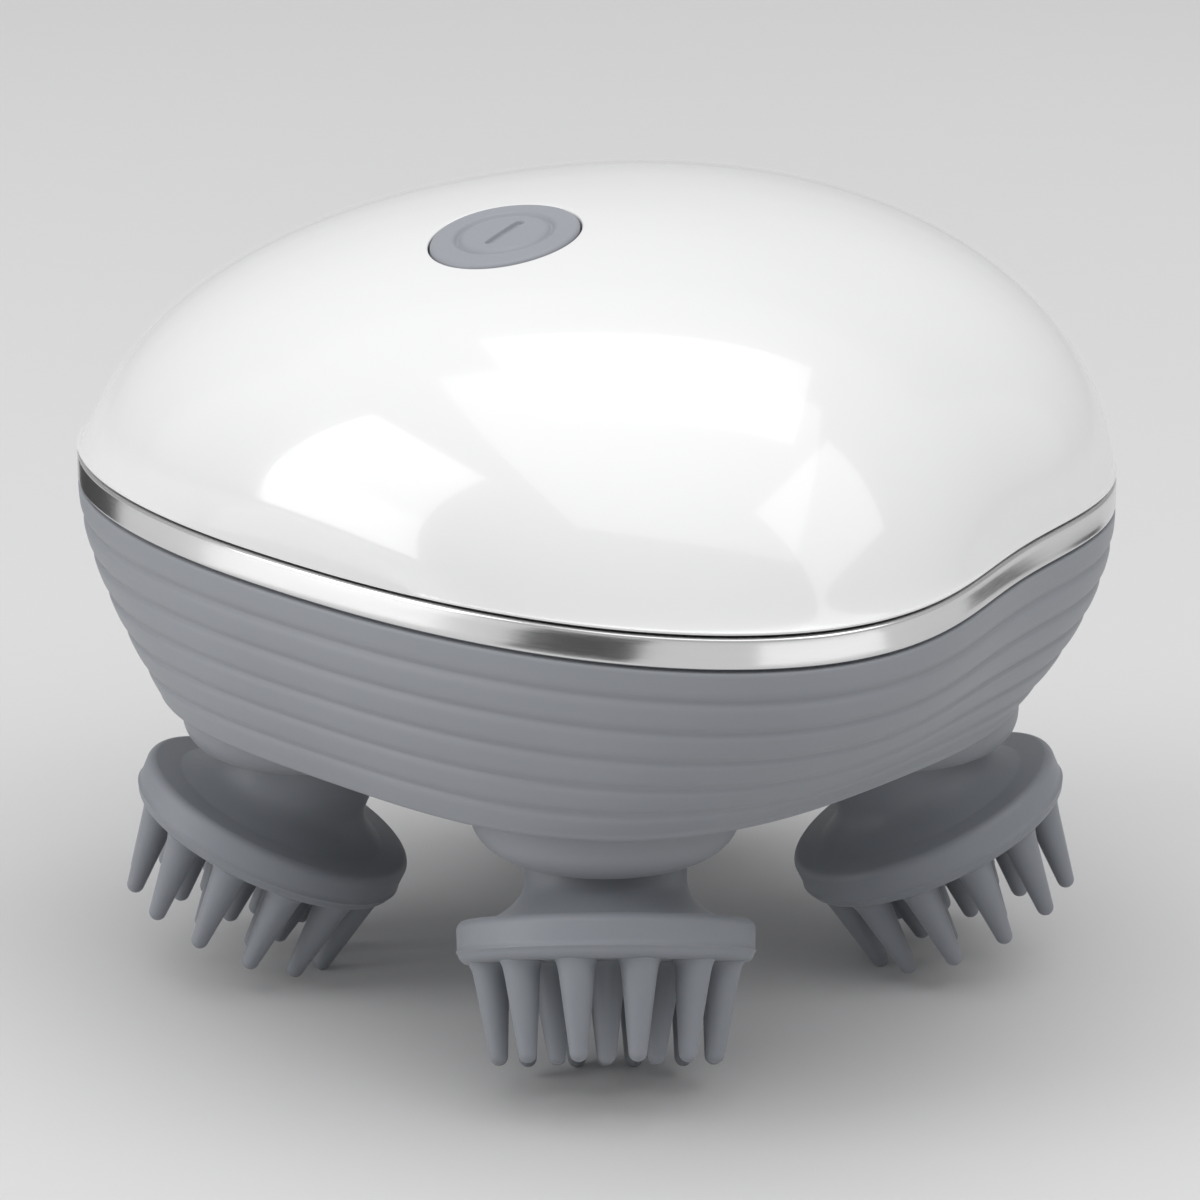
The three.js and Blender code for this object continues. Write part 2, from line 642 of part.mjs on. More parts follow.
function motor() {
  const topZ = boardZ - MOTOR_HEADROOM;
  const capRadius = MOTOR_RADIUS - MOTOR_CAP;
  return turned([
    [0, motorZ], [MOTOR_RADIUS, motorZ], [MOTOR_RADIUS, topZ - MOTOR_CAP], [capRadius, topZ - MOTOR_CAP],
    [capRadius, topZ], [0, topZ],
  ], LARGE_SIDES);
}

function batteryCell() {
  const half = CELL_LENGTH / 2;
  const shoulder = half - CELL_POLE_HEIGHT;
  return turned([
    [0, -half], [CELL_RADIUS, -half], [CELL_RADIUS, shoulder], [CELL_POLE_RADIUS, shoulder],
    [CELL_POLE_RADIUS, half], [0, half],
  ], MIDDLE_SIDES).rotateX(Math.PI / 2).translate(CELL_PLACE, 0, cellZ);
}

function batteryCradle() {
  const width = 2 * (CELL_RADIUS + GAP + CRADLE_WALL);
  const length = CELL_LENGTH + 2 * (GAP + CRADLE_WALL);
  const tray = new THREE.BoxGeometry(width, length, CRADLE_HEIGHT)
    .translate(CELL_PLACE, 0, cradleZ + CRADLE_HEIGHT / 2);
  const half = CELL_LENGTH / 2 + GAP;
  const trough = rod(CELL_RADIUS + GAP, -half, half, MIDDLE_SIDES)
    .rotateX(Math.PI / 2).translate(CELL_PLACE, 0, cellZ);
  return geometryOf(without(solid(tray), [
    solid(trough),
    ...rods(deckPlaces, SCREW_HEAD_RADIUS + GAP, cradleZ - CUT, cellZ, SMALL_SIDES),
  ]));
}

function powerButton() {
  const body = turned([
    [0, buttonLowZ], [BUTTON_RADIUS + BUTTON_FLANGE_REACH, buttonLowZ],
    [BUTTON_RADIUS + BUTTON_FLANGE_REACH, buttonLowZ + BUTTON_FLANGE_HEIGHT],
    [BUTTON_RADIUS, buttonLowZ + BUTTON_FLANGE_HEIGHT], [BUTTON_RADIUS, crownZ + CUT], [0, crownZ + CUT],
  ], LARGE_SIDES);
  const face = solid(dome(-BUTTON_PROUD, domeZ, domeZ + DOME_EDGE, DOME_ROWS));
  return geometryOf(solid(at(body, BUTTON_PLACE, 0)).intersect(face));
}

function tactSwitch() {
  const body = new THREE.BoxGeometry(SWITCH_SIZE, SWITCH_SIZE, SWITCH_HEIGHT)
    .translate(BUTTON_PLACE, 0, switchZ + SWITCH_HEIGHT / 2);
  const plunger = rod(PLUNGER_RADIUS, switchZ + SWITCH_HEIGHT / 2, plungerTopZ, SMALL_SIDES);
  return geometryOf(solid(body).add(solid(at(plunger, BUTTON_PLACE, 0))));
}

function circuitBoard() {
  const plate = solid(at(rod(BOARD_RADIUS, boardZ, boardZ + BOARD_THICKNESS, LARGE_SIDES), BUTTON_PLACE, 0));
  const holes = rods(boardPlaces, SMALL_SCREW_RADIUS + GAP, boardZ - CUT, switchZ + CUT, SMALL_SIDES);
  return geometryOf(without(plate, holes));
}

// Screw standing along +Z from its head's outer face
function screw(radius, headRadius, headHeight, length) {
  return turned([
    [0, 0], [headRadius, 0], [headRadius, headHeight], [radius, headHeight], [radius, length], [0, length],
  ], SCREW_SIDES);
}

const finishes = {
  pearl: { color: 0xf4f4f3, roughness: 0.12, metalness: 0 },
  steel: { color: 0xb9bbbe, roughness: 0.25, metalness: 1 },
  grey: { color: 0x8f939b, roughness: 0.65, metalness: 0 },
  silicone: { color: 0x878c94, roughness: 0.7, metalness: 0 },
  nylon: { color: 0xe6e2d4, roughness: 0.5, metalness: 0 },
  bronze: { color: 0xa8814a, roughness: 0.4, metalness: 1 },
  rubber: { color: 0x2b2b2d, roughness: 0.8, metalness: 0 },
  board: { color: 0x1f6b45, roughness: 0.5, metalness: 0 },
  black: { color: 0x222326, roughness: 0.5, metalness: 0 },
  cell: { color: 0x3f6fa8, roughness: 0.4, metalness: 0 },
  gold: { color: 0xd2a94e, roughness: 0.25, metalness: 1 },
};

const massager = new THREE.Group();
massager.position.x = driveX;

function add(name, geometry, finish) {
  const mesh = new THREE.Mesh(geometry, new THREE.MeshStandardMaterial(finishes[finish]));
  mesh.name = name;
  massager.add(mesh);
}

add('upper_shell', upperShell(), 'pearl');
add('trim_band', trimBand(), 'steel');
add('lower_housing', lowerHousing(), 'grey');
add('case_gasket', caseGasket(), 'rubber');
add('power_button', powerButton(), 'grey');
add('tact_switch', tactSwitch(), 'black');
add('circuit_board', circuitBoard(), 'board');
add('gear_deck', gearDeck(), 'nylon');
add('motor_gearbox', gearbox(), 'steel');
add('drive_motor', motor(), 'steel');
add('drive_shaft', driveShaft(), 'steel');
add('sun_gear', sunGear(), 'nylon');
add('battery_cradle', batteryCradle(), 'black');
add('battery_cell', batteryCell(), 'cell');
headPlaces.forEach(([x, y], i) => {
  add(`massage_head_${i + 1}`, massageHead(i), 'silicone');
  add(`head_spindle_${i + 1}`, spindle(i), 'steel');
  add(`output_gear_${i + 1}`, at(outputGear(i), x, y), 'nylon');
  add(`spindle_bush_${i + 1}`, bush(i), 'bronze');
  add(`shaft_seal_${i + 1}`, shaftSeal(i), 'rubber');
});
casePlaces.forEach(([x, y], i) => {
  const up = screw(SCREW_RADIUS, SCREW_HEAD_RADIUS, SCREW_HEAD_HEIGHT, caseScrewTopZ - bowlZ);
  add(`case_screw_${i + 1}`, at(up, x, y, bowlZ), 'steel');
});
deckPlaces.forEach(([x, y], i) => {
  const down = screw(SCREW_RADIUS, SCREW_HEAD_RADIUS, SCREW_HEAD_HEIGHT, DECK_SCREW_LENGTH).rotateX(Math.PI);
  add(`deck_screw_${i + 1}`, at(down, x, y, deckTopZ + GAP + SCREW_HEAD_HEIGHT), 'steel');
});
[
  ['board_screw', boardPlaces, boardZ, BOARD_SCREW_LENGTH],
  ['motor_screw', motorPlaces, deckZ, MOTOR_SCREW_LENGTH],
].forEach(([name, places, z, length]) => places.forEach(([x, y], i) => {
  const up = screw(SMALL_SCREW_RADIUS, SMALL_SCREW_HEAD_RADIUS, SMALL_SCREW_HEAD_HEIGHT, length);
  add(`${name}_${i + 1}`, at(up, x, y, z - GAP - SMALL_SCREW_HEAD_HEIGHT), 'steel');
}));
[1, -1].forEach((side, i) => {
  add(`charging_contact_${i + 1}`, at(chargingContact(), 0, side * CONTACT_SPACING / 2, contactZ), 'gold');
});

export default massager;
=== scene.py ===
import math

import bmesh
import bpy
import numpy as np
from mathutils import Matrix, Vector


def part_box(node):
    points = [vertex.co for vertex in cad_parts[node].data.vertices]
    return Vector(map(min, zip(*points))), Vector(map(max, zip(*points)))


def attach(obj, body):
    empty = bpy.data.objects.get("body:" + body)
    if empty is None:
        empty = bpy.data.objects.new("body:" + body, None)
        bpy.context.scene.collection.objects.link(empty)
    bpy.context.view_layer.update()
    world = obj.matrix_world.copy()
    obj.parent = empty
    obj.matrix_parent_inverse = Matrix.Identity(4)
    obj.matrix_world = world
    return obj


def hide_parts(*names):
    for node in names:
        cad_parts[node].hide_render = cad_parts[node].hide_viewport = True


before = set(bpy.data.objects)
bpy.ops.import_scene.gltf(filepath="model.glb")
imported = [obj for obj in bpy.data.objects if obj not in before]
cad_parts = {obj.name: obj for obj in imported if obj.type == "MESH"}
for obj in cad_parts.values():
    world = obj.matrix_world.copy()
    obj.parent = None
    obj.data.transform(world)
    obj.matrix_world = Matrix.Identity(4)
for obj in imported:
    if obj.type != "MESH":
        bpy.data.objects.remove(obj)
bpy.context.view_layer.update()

MM = 0.001

# Body outline and surfaces, in millimetres from the drive axis
GAP = 0.3
NEAR_LENGTH = 47.5
FAR_LENGTH = 57.0
HALF_WIDTH = 66.6
NEAR_ROUNDNESS = 2.29
FAR_ROUNDNESS = 1.8
GRIP_DEPTH = 12.2
GRIP_ANGLE = math.radians(81.7)
GRIP_SPREAD = math.radians(26)
OUTLINE_WAVES = 14
DOME_ROUNDNESS = 2.15
DOME_NEAR_LENGTH = 49.5
DOME_FAR_LENGTH = 58.0
DOME_HALF_WIDTH = 52.0
DOME_TOP_SHIFT = 6.0
DOME_BLEND = 0.3
DOME_WALL = 2.3
DOME_LIP_HEIGHT = 2.0
LIP_INSET = 2.9
BOWL_CURVE = 2.0
BASE_NEAR_LENGTH = 42.8
BASE_FAR_LENGTH = 44.0
BASE_HALF_WIDTH = 43.4
BASE_NEAR_ROUNDNESS = 3.2
BASE_FAR_ROUNDNESS = 2.5
RIBS = 6
RIB_RELIEF = 0.55
HEADS = 4
HEAD_TILT = math.radians(24.5)
HEAD_OFFSET = 5.7
DISC_RADIUS = 16.0
DISC_HEIGHT = 4.7
DISC_SHOULDER = 1.1
DISC_LIP = 1.2
DISC_LIP_INSET = 0.14
DISC_FACE_INSET = 0.4
DISC_CENTRE_RADIUS = 0.3
# The fine ridge of the mould's seam, as offsets from the disc's radius and from the lip's height
DISC_RIDGE = ((-0.02, -0.02), (0.06, 0.06), (0.04, 0.16), (-0.06, 0.26), (-0.06, 0.8))
FLARE_RISE = 0.06
FLARE_LENGTH = 4.6
FLARE_INSET = 3.5
FLARE_CURVE = 2.5
NECK_START = 0.4
NECK_BEND = 8.9
NECK_FLARE = 0.15
NECK_RADIUS = 8.7
PRONG_LENGTH = 10.7
PRONG_BASE_RADIUS = 2.05
PRONG_TIP_RADIUS = 0.98
PRONG_LEAN = 0.9
PRONG_SINK = 0.9
PRONG_SUNK_INSET = 0.1
PRONG_ROOT_FLARE = 0.3
PRONG_ROOT_HEIGHT = 0.4
# Heights of a prong's rings above the disc, up to where the round tip starts
PRONG_LEVELS = (0.02, 0.15, 0.35, 0.65, 1.1, 1.8, 3.0, 5.0, 7.0, 8.6)
# Count, radius, first angle and lean of each ring of prongs
PRONG_RINGS = ((12, 12.8, math.radians(15), PRONG_LEAN), (6, 7.0, 0.0, PRONG_LEAN), (1, 0.0, 0.0, 0.0))
COLLAR_RADIUS = 14.6
COLLAR_EDGE_WIDTH = 3.2
COLLAR_EDGE_HEIGHT = 3.8
COLLAR_LIP = 0.4
# Heights above the bowl's floor where a collar's side ends, inside the bowl
COLLAR_SIDE = 1.0
COLLAR_ROOT = 6.4
SEAL_HOLE_RADIUS = 10.95
BUSH_HOLE_RADIUS = 6.9
BUTTON_RADIUS = 8.1
BUTTON_FLANGE_RADIUS = 9.1
BUTTON_FLANGE_HEIGHT = 1.0
BUTTON_EDGE = 0.45
BUTTON_SKIRT = 0.6
BUTTON_PROUD = 0.2
BUTTON_GROOVE_RADIUS = 5.1
BUTTON_GROOVE_DEPTH = 0.5
BUTTON_GROOVE_SPREAD = 0.4
BUTTON_DISH_DEPTH = 0.1
BUTTON_DISH_EDGE = 0.6
BUTTON_BAR_LENGTH = 6.2
BUTTON_BAR_WIDTH = 0.95
BUTTON_BAR_DEPTH = 0.45
BUTTON_BAR_EDGE = 0.24
BUTTON_BAR_TURN = math.radians(8)
SEAL_BORE_RADIUS = 4.3
SEAL_CHAMFER = 0.3
SCREW_PITCH = 0.5
THREAD_DEPTH = 0.22
THREAD_START = 0.2
THREAD_END = 0.3
# A screw's cross recess as shares of its head, and its point as a share of its shank
CROSS_ARM = 0.62
CROSS_WIDTH = 0.15
CROSS_DEPTH = 0.55
CROSS_SLOPE = 0.5
SCREW_POINT = 0.6
# Inset and height of the rings at the rounded rim of a screw's head
SCREW_RIM = ((0.1, 0.12), (0.0, 0.35))
SCREW_FACE_INSET = 0.35
SCREW_CENTRE_RADIUS = 0.05
# Head radius, head height and shank radius
LARGE_SCREW = (2.6, 1.6, 1.4)
SMALL_SCREW = (1.8, 1.1, 1.0)
CONTACT_EDGE = 0.4


def corners(node):
    low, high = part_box(node)
    return np.array(low) / MM, np.array(high) / MM


def middle(node):
    low, high = corners(node)
    return (low + high) / 2


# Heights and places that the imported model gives
DRIVE_X = middle("sun_gear")[0]
BAND_Z, BAND_TOP_Z = corners("trim_band")[0][2], corners("trim_band")[1][2]
DOME_Z, CROWN_Z = corners("upper_shell")[0][2], corners("upper_shell")[1][2]
COLLAR_Z, LIP_Z = corners("lower_housing")[0][2], corners("lower_housing")[1][2]
BOWL_Z = corners("case_screw_1")[0][2]
BUTTON_X = middle("power_button")[0] - DRIVE_X
BUTTON_LOW_Z = corners("power_button")[0][2]
NECK_TOP_Z = corners("massage_head_1")[1][2]
WEB_Z = corners("spindle_bush_1")[0][2] - GAP
DOME_HEIGHT = CROWN_Z - DOME_Z
BOWL_HEIGHT = BAND_Z - BOWL_Z
HEAD_PLACES = [middle(f"spindle_bush_{i + 1}")[:2] for i in range(HEADS)]
PIVOT_Z = NECK_TOP_Z - GAP
PIVOT_LENGTH = HEAD_OFFSET / math.sin(HEAD_TILT)


# Distance from the drive axis to a rounded outline with (length, roundness) on each side of the axis
def oval(angle, near, far, half_width):
    c, s = np.cos(angle), np.sin(angle)
    length = np.where(c < 0, near[0], far[0])
    power = np.where(c < 0, near[1], far[1])
    return (np.abs(c / length) ** power + np.abs(s / half_width) ** power) ** (-1 / power)


# Body outline, dome top and bowl base; the fine ripples of their formulas are left out
def sharp_outline(angle):
    full = oval(angle, (NEAR_LENGTH, NEAR_ROUNDNESS), (FAR_LENGTH, FAR_ROUNDNESS), HALF_WIDTH)
    turn = np.abs(np.arctan2(np.sin(angle), np.cos(angle)))
    return full - GRIP_DEPTH * np.exp(-(((turn - GRIP_ANGLE) / GRIP_SPREAD) ** 2))


def sharp_top(angle):
    return oval(angle, (DOME_NEAR_LENGTH, 2), (DOME_FAR_LENGTH, 2), DOME_HALF_WIDTH)


def sharp_base(angle):
    near, far = (BASE_NEAR_LENGTH, BASE_NEAR_ROUNDNESS), (BASE_FAR_LENGTH, BASE_FAR_ROUNDNESS)
    return oval(angle, near, far, BASE_HALF_WIDTH)


def waves(function):
    angle = np.linspace(0, 2 * np.pi, 1440, endpoint=False)
    value = function(angle)
    ripples = [2 * np.mean(value * np.cos(k * angle)) for k in range(1, OUTLINE_WAVES + 1)]
    return [np.mean(value)] + ripples


OUTLINE = waves(sharp_outline)
TOP = waves(sharp_top)
BASE = waves(sharp_base)


def reach_at(series, angle):
    return sum(a * np.cos(k * angle) for k, a in enumerate(series))


def outline(angle):
    return reach_at(OUTLINE, angle)


# Share of the outline that is left at a rise angle of the dome
def dome_scale(rise):
    return np.maximum(0, np.cos(rise)) ** (2 / DOME_ROUNDNESS)


def dome_reach(angle, rise):
    scale = dome_scale(rise)
    blend = (1 - scale) ** DOME_BLEND
    return (outline(angle) * (1 - blend) + reach_at(TOP, angle) * blend) * scale


# Halvings of a search
SEARCH_STEPS = 46


# Height of the dome above points measured from the drive axis
def dome_z(x, y):
    low = np.zeros_like(x)
    high = np.full_like(x, np.pi / 2)
    for _ in range(SEARCH_STEPS):
        rise = (low + high) / 2
        dx = x - DOME_TOP_SHIFT * (1 - dome_scale(rise))
        inside = np.hypot(dx, y) <= dome_reach(np.arctan2(y, dx), rise)
        low = np.where(inside, rise, low)
        high = np.where(inside, high, rise)
    return DOME_Z + DOME_HEIGHT * np.sin(low) ** (2 / DOME_ROUNDNESS)


def smoothstep(value):
    t = np.clip(value, 0, 1)
    return t * t * (3 - 2 * t)


# Mesh pieces. Points are given in millimetres.
def piece(name, points, faces, material, body="housing", smooth=True):
    mesh = bpy.data.meshes.new(name)
    mesh.from_pydata([tuple(p) for p in np.asarray(points) * MM], [], [tuple(f) for f in faces])
    mesh.validate()
    bm = bmesh.new()
    bm.from_mesh(mesh)
    bmesh.ops.recalc_face_normals(bm, faces=bm.faces)
    bm.to_mesh(mesh)
    bm.free()
    mesh.polygons.foreach_set("use_smooth", [smooth] * len(mesh.polygons))
    mesh.materials.append(material)
    thing = bpy.data.objects.new(name, mesh)
    bpy.context.scene.collection.objects.link(thing)
    if body:
        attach(thing, body)
    return thing


# Grid of rings, each a row of points round the piece. A flat end is closed with a fan.
def skin(rings, close_low=False, close_high=False):
    rows, around = len(rings), len(rings[0])
    points = np.concatenate(rings)
    faces = []
    for j in range(rows - 1):
        for i in range(around):
            k = (i + 1) % around
            faces.append((j * around + i, j * around + k, (j + 1) * around + k, (j + 1) * around + i))
    ends = ([rings[0]] if close_low else []) + ([rings[-1]] if close_high else [])
    starts = ([0] if close_low else []) + ([(rows - 1) * around] if close_high else [])
    for end, start in zip(ends, starts):
        centre = len(points)
        points = np.vstack([points, end.mean(axis=0)])
        faces += [(start + i, start + (i + 1) % around, centre) for i in range(around)]
    return points, faces


def turned(profile, x=0.0, y=0.0, around=96):
    angle = np.linspace(0, 2 * np.pi, around, endpoint=False)
    return [np.stack([x + r * np.cos(angle), y + r * np.sin(angle), np.full(around, z)], -1)
            for r, z in profile]


# Rounded corner between two directions as (radius, height) pairs
def fillet(centre_r, centre_z, radius, start, end, steps=6):
    turns = np.radians(np.linspace(start, end, steps))
    return [(centre_r + radius * math.cos(t), centre_z + radius * math.sin(t)) for t in turns]


def join(parts):
    points, faces, start = [], [], 0
    for p, f in parts:
        points.append(p)
        faces += [tuple(i + start for i in face) for face in f]
        start += len(p)
    return np.vstack(points), faces


# Procedural materials
def surface(name, color, roughness, metallic=0.0, vary=0.05, rough_vary=0.06, grain=900.0,
            bump=0.015, blotch=60.0, stretch=(1, 1, 1), **sockets):
    material = bpy.data.materials.new(name)
    material.use_nodes = True
    nodes, links = material.node_tree.nodes, material.node_tree.links
    shader = nodes["Principled BSDF"]
    shader.inputs["Metallic"].default_value = metallic
    for key, value in sockets.items():
        shader.inputs[key.replace("_", " ")].default_value = value
    place = nodes.new("ShaderNodeTexCoord")
    shape = nodes.new("ShaderNodeMapping")
    shape.inputs["Scale"].default_value = stretch
    links.new(place.outputs["Object"], shape.inputs["Vector"])
    wide = nodes.new("ShaderNodeTexNoise")
    wide.inputs["Scale"].default_value = blotch
    wide.inputs["Detail"].default_value = 4
    fine = nodes.new("ShaderNodeTexNoise")
    fine.inputs["Scale"].default_value = grain
    fine.inputs["Detail"].default_value = 3
    for texture in (wide, fine):
        links.new(shape.outputs["Vector"], texture.inputs["Vector"])
    ramp = nodes.new("ShaderNodeValToRGB")
    ramp.color_ramp.elements[0].position = 0.25
    ramp.color_ramp.elements[1].position = 0.75
    ramp.color_ramp.elements[0].color = (*[c * (1 - vary) for c in color], 1)
    ramp.color_ramp.elements[1].color = (*[min(1, c * (1 + vary)) for c in color], 1)
    links.new(wide.outputs["Fac"], ramp.inputs["Fac"])
    links.new(ramp.outputs["Color"], shader.inputs["Base Color"])
    rough = nodes.new("ShaderNodeMapRange")
    rough.inputs["To Min"].default_value = max(0.0, roughness - rough_vary)
    rough.inputs["To Max"].default_value = min(1.0, roughness + rough_vary)
    links.new(fine.outputs["Fac"], rough.inputs["Value"])
    links.new(rough.outputs["Result"], shader.inputs["Roughness"])
    if bump:
        relief = nodes.new("ShaderNodeBump")
        relief.inputs["Strength"].default_value = 1
        relief.inputs["Distance"].default_value = bump * MM
        links.new(fine.outputs["Fac"], relief.inputs["Height"])
        links.new(relief.outputs["Normal"], shader.inputs["Normal"])
    return material


PEARL = surface("pearl_gloss", (0.79, 0.792, 0.793), 0.16, vary=0.006, rough_vary=0.02, grain=160,
                bump=0.0012, blotch=25, Coat_Weight=0.6, Coat_Roughness=0.03, IOR=1.5)
TRIM = surface("satin_plate", (0.72, 0.72, 0.72), 0.18, metallic=1.0, vary=0.03, rough_vary=0.05,
               grain=400, bump=0.0015, stretch=(1, 1, 14))
GREY = surface("soft_touch_grey", (0.252, 0.264, 0.286), 0.5, vary=0.03, rough_vary=0.05, grain=2600,
               bump=0.006, blotch=45, Sheen_Weight=0.12, Sheen_Roughness=0.4)
BUTTON = surface("button_soft_touch", (0.278, 0.291, 0.32), 0.5, vary=0.03, grain=2600, bump=0.006,
                 blotch=60, Sheen_Weight=0.1, Sheen_Roughness=0.4)
SILICONE = surface("silicone_grey", (0.218, 0.232, 0.256), 0.5, vary=0.05, rough_vary=0.07, grain=1800,
                   bump=0.008, blotch=70, Sheen_Weight=0.15, Sheen_Roughness=0.35,
                   Subsurface_Weight=0.06, Subsurface_Scale=0.002)
RUBBER = surface("seal_rubber", (0.022, 0.022, 0.024), 0.6, vary=0.2, grain=2200, bump=0.01, blotch=120)
BLACK = surface("moulded_black", (0.022, 0.022, 0.026), 0.42, vary=0.15, grain=2400, bump=0.012,
                blotch=140)
BOARD = surface("solder_mask", (0.012, 0.12, 0.05), 0.35, vary=0.2, grain=1500, bump=0.01, blotch=300,
                Coat_Weight=0.4, Coat_Roughness=0.15)
NYLON = surface("natural_nylon", (0.62, 0.58, 0.48), 0.42, vary=0.06, grain=1300, bump=0.012, blotch=90,
                Subsurface_Weight=0.08, Subsurface_Scale=0.002)
STEEL = surface("turned_steel", (0.5, 0.51, 0.52), 0.27, metallic=1.0, vary=0.1, rough_vary=0.1,
                grain=1500, bump=0.004, blotch=150, stretch=(1, 1, 9))
BRONZE = surface("sintered_bronze", (0.42, 0.24, 0.09), 0.4, metallic=1.0, vary=0.2, rough_vary=0.12,
                 grain=3000, bump=0.02, blotch=260)
SLEEVE = surface("cell_sleeve", (0.03, 0.12, 0.32), 0.3, vary=0.1, grain=700, bump=0.01, blotch=80,
                 Coat_Weight=0.5, Coat_Roughness=0.1)
GOLD = surface("gold_plate", (0.75, 0.5, 0.16), 0.22, metallic=1.0, vary=0.08, grain=1800, bump=0.003,
               blotch=200)

CAD_LOOKS = {
    "case_gasket": RUBBER, "tact_switch": BLACK, "circuit_board": BOARD, "gear_deck": NYLON,
    "motor_gearbox": STEEL, "drive_motor": STEEL, "drive_shaft": STEEL, "sun_gear": NYLON,
    "battery_cradle": BLACK, "battery_cell": SLEEVE,
}
for i in range(HEADS):
    CAD_LOOKS[f"head_spindle_{i + 1}"] = STEEL
    CAD_LOOKS[f"output_gear_{i + 1}"] = NYLON
    CAD_LOOKS[f"spindle_bush_{i + 1}"] = BRONZE
for name, look in CAD_LOOKS.items():
    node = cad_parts[name]
    if node.data.materials:
        node.material_slots[0].material = look
    else:
        node.data.materials.append(look)


# Domed shell: rings round the button's well, out to the rim and back under it
WELL_AROUND = 320
WELL_ROWS = 110
RIM_EDGE = 0.25
RIM_ROUND = 0.07
RIM_HEIGHT = 0.32
WELL_EDGE = 0.25
WELL_GAP = 0.2
WELL_DEPTH = 3.2
WELL_RADIUS = BUTTON_RADIUS + WELL_GAP
around = np.linspace(0, 2 * np.pi, WELL_AROUND, endpoint=False)


def rim_distance():
    low, high = np.zeros(WELL_AROUND), np.full(WELL_AROUND, 2 * FAR_LENGTH)
    for _ in range(SEARCH_STEPS):
        half = (low + high) / 2
        x, y = BUTTON_X + half * np.cos(around), half * np.sin(around)
        inside = np.hypot(x, y) <= outline(np.arctan2(y, x))
        low, high = np.where(inside, half, low), np.where(inside, high, half)
    return low


def over_button(distance, drop=0.0):
    x, y = BUTTON_X + distance * np.cos(around), distance * np.sin(around)
    return np.stack([DRIVE_X + x, y, dome_z(x, y) - drop], -1)


def dome_skin():
    reach = rim_distance()
    well = np.full(WELL_AROUND, WELL_RADIUS)
    rings = [over_button(well, WELL_DEPTH), over_button(well, WELL_EDGE * 2)]
    for turn in np.radians(np.linspace(0, 80, 6)):
        distance = well + WELL_EDGE * (1 - math.cos(turn))
        rings.append(over_button(distance, WELL_EDGE * (1 - math.sin(turn))))
    start = WELL_RADIUS + WELL_EDGE
    for j in range(WELL_ROWS):
        share = math.sin(math.pi / 2 * j / WELL_ROWS)
        ring = over_button(start + (reach - start) * share)
        ring[:, 2] = np.maximum(ring[:, 2], DOME_Z + RIM_HEIGHT)
        rings.append(ring)
    x, y = BUTTON_X + reach * np.cos(around), reach * np.sin(around)
    angle = np.arctan2(y, x)
    for inset, z in [(0.0, RIM_EDGE), (RIM_ROUND, RIM_ROUND), (RIM_EDGE, 0.0), (DOME_WALL, 0.0),
                     (DOME_WALL, DOME_LIP_HEIGHT)]:
        r = outline(angle) - inset
        level = np.full(WELL_AROUND, DOME_Z + z)
        rings.append(np.stack([DRIVE_X + r * np.cos(angle), r * np.sin(angle), level], -1))
    return skin(rings)


shell = piece("dome_shell", *dome_skin(), PEARL)
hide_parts("upper_shell")

# Rings that follow the outline
OUTLINE_AROUND = 360
turn_round = np.linspace(0, 2 * np.pi, OUTLINE_AROUND, endpoint=False)


def follow(inset, z, reach=None):
    r = (outline(turn_round) if reach is None else reach) - inset
    level = np.full(OUTLINE_AROUND, z)
    return np.stack([DRIVE_X + r * np.cos(turn_round), r * np.sin(turn_round), level], -1)


# Plated trim band with bright bevels
BAND_BEVEL = 0.4
BAND_THICKNESS = 2.3
BAND_CROWN = 0.012
band_profile = [(BAND_THICKNESS, BAND_Z), (BAND_BEVEL, BAND_Z)]
band_profile += [(BAND_BEVEL - BAND_BEVEL * math.sin(t), BAND_Z + BAND_BEVEL * (1 - math.cos(t)))
                 for t in np.radians([22, 45, 68, 90])]
for share in (0.25, 0.5, 0.75):
    height = BAND_TOP_Z - BAND_Z - 2 * BAND_BEVEL
    band_profile.append((-BAND_CROWN * math.sin(math.pi * share), BAND_Z + BAND_BEVEL + height * share))
band_profile += [(BAND_BEVEL - BAND_BEVEL * math.cos(t), BAND_TOP_Z - BAND_BEVEL * (1 - math.sin(t)))
                 for t in np.radians([0, 22, 45, 68, 90])]
band_profile += [(BAND_THICKNESS, BAND_TOP_Z), (BAND_THICKNESS, BAND_Z)]
band = piece("plated_band", *skin([follow(inset, z) for inset, z in band_profile]), TRIM)
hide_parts("trim_band")


# Ribbed bowl
SCREW_HOLE_RADIUS = 2.9
RIB_ROWS = 14
RIB_SHARPNESS = 4.0
BOWL_EDGE = 0.9
BOWL_RIM_EDGE = 0.3
BOWL_RIM_INSET = 0.09
BOWL_RIM_DROP = 0.08


def bowl_reach(z):
    share = ((BAND_Z - z) / BOWL_HEIGHT) ** BOWL_CURVE
    return outline(turn_round) * (1 - share) + reach_at(BASE, turn_round) * share


# Level ring of the bowl's outside, drawn in where a notch runs between two ribs
def rib_ring(z, inset=0.0, drop=0.0):
    share = (z - BOWL_Z) / BOWL_HEIGHT * RIBS
    across = abs(2 * (share - math.floor(share)) - 1)
    notch = 0 if share > RIBS - 0.5 else RIB_RELIEF * across ** RIB_SHARPNESS
    return follow(inset + notch, z - drop, bowl_reach(z))


